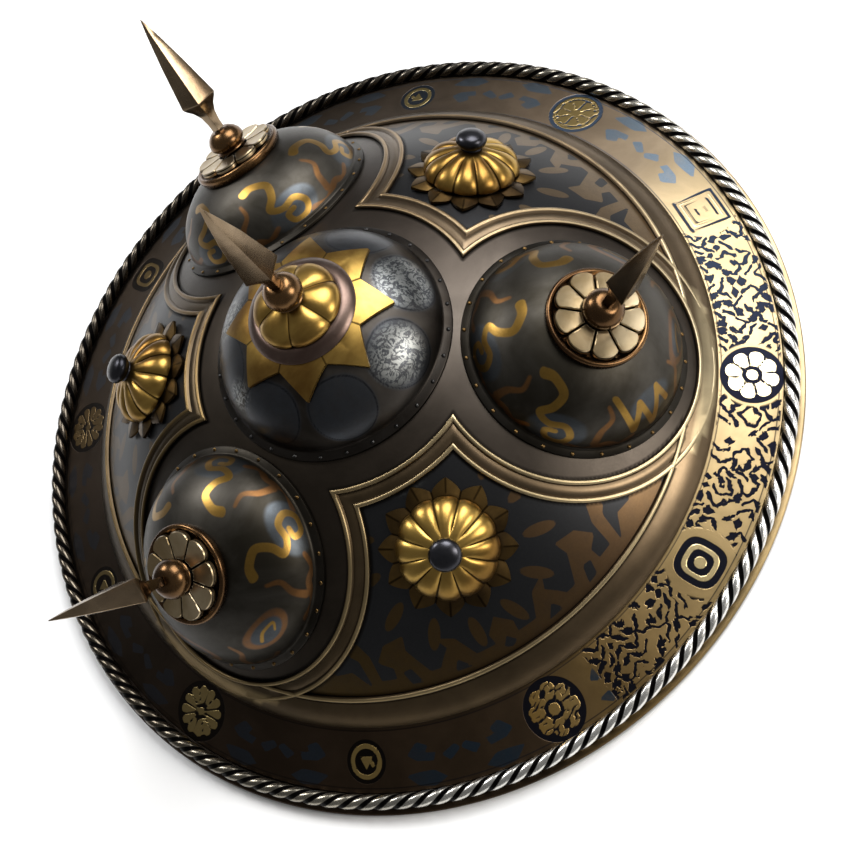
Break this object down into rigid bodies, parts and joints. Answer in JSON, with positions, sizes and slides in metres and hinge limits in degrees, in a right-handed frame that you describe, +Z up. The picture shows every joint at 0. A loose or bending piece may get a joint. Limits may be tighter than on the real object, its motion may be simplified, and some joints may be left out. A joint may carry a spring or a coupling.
{
  "type": "buckler shield",
  "caption": "Round dished steel hand shield with spiked hollow domes, gilt bosses, a bronze frame moulding and a grip bar on its back.",
  "frame": {"origin": "centre of the round rim, on the flat underside of the lip that the shield lies on", "axes": "+Z up out of the shield's face along its middle spike, +X from the centre towards one of the three outer domes"},
  "size_m": [0.44, 0.44, 0.2378],
  "materials": {
    "steel": "dark, engraved border inlaid with brass",
    "rope": "bright twisted bead",
    "bronze": "worn bronze",
    "dome": "polished gunmetal with gilt scrolls",
    "blade": "polished",
    "brass": "turned and polished",
    "gold": "gilt",
    "petal": "pale polished",
    "knob": "dark steel",
    "grip": "forged, blackened"
  },
  "bodies": {
    "root": {"bottom_boss_cap": "gold", "bottom_boss_knob": "knob", "bottom_boss_leaves": "gold", "center_cap": "gold", "center_collar": "brass", "center_dome": "dome", "center_ring": "bronze", "center_spike": "blade", "center_sunburst": "gold", "frame_moulding": "bronze", "grip": "grip", "grip_rivet_left": "knob", "grip_rivet_right": "knob", "left_boss_cap": "gold", "left_boss_knob": "knob", "left_boss_leaves": "gold", "lower_left_collar": "brass", "lower_left_dish": "brass", "lower_left_dome": "dome", "lower_left_flower": "petal", "lower_left_spike": "blade", "plate": "steel", "right_collar": "brass", "right_dish": "brass", "right_dome": "dome", "right_flower": "petal", "right_spike": "blade", "rim_rope": "rope", "top_boss_cap": "gold", "top_boss_knob": "knob", "top_boss_leaves": "gold", "upper_left_collar": "brass", "upper_left_dish": "brass", "upper_left_dome": "dome", "upper_left_flower": "petal", "upper_left_spike": "blade"}
  },
  "joints": []
}
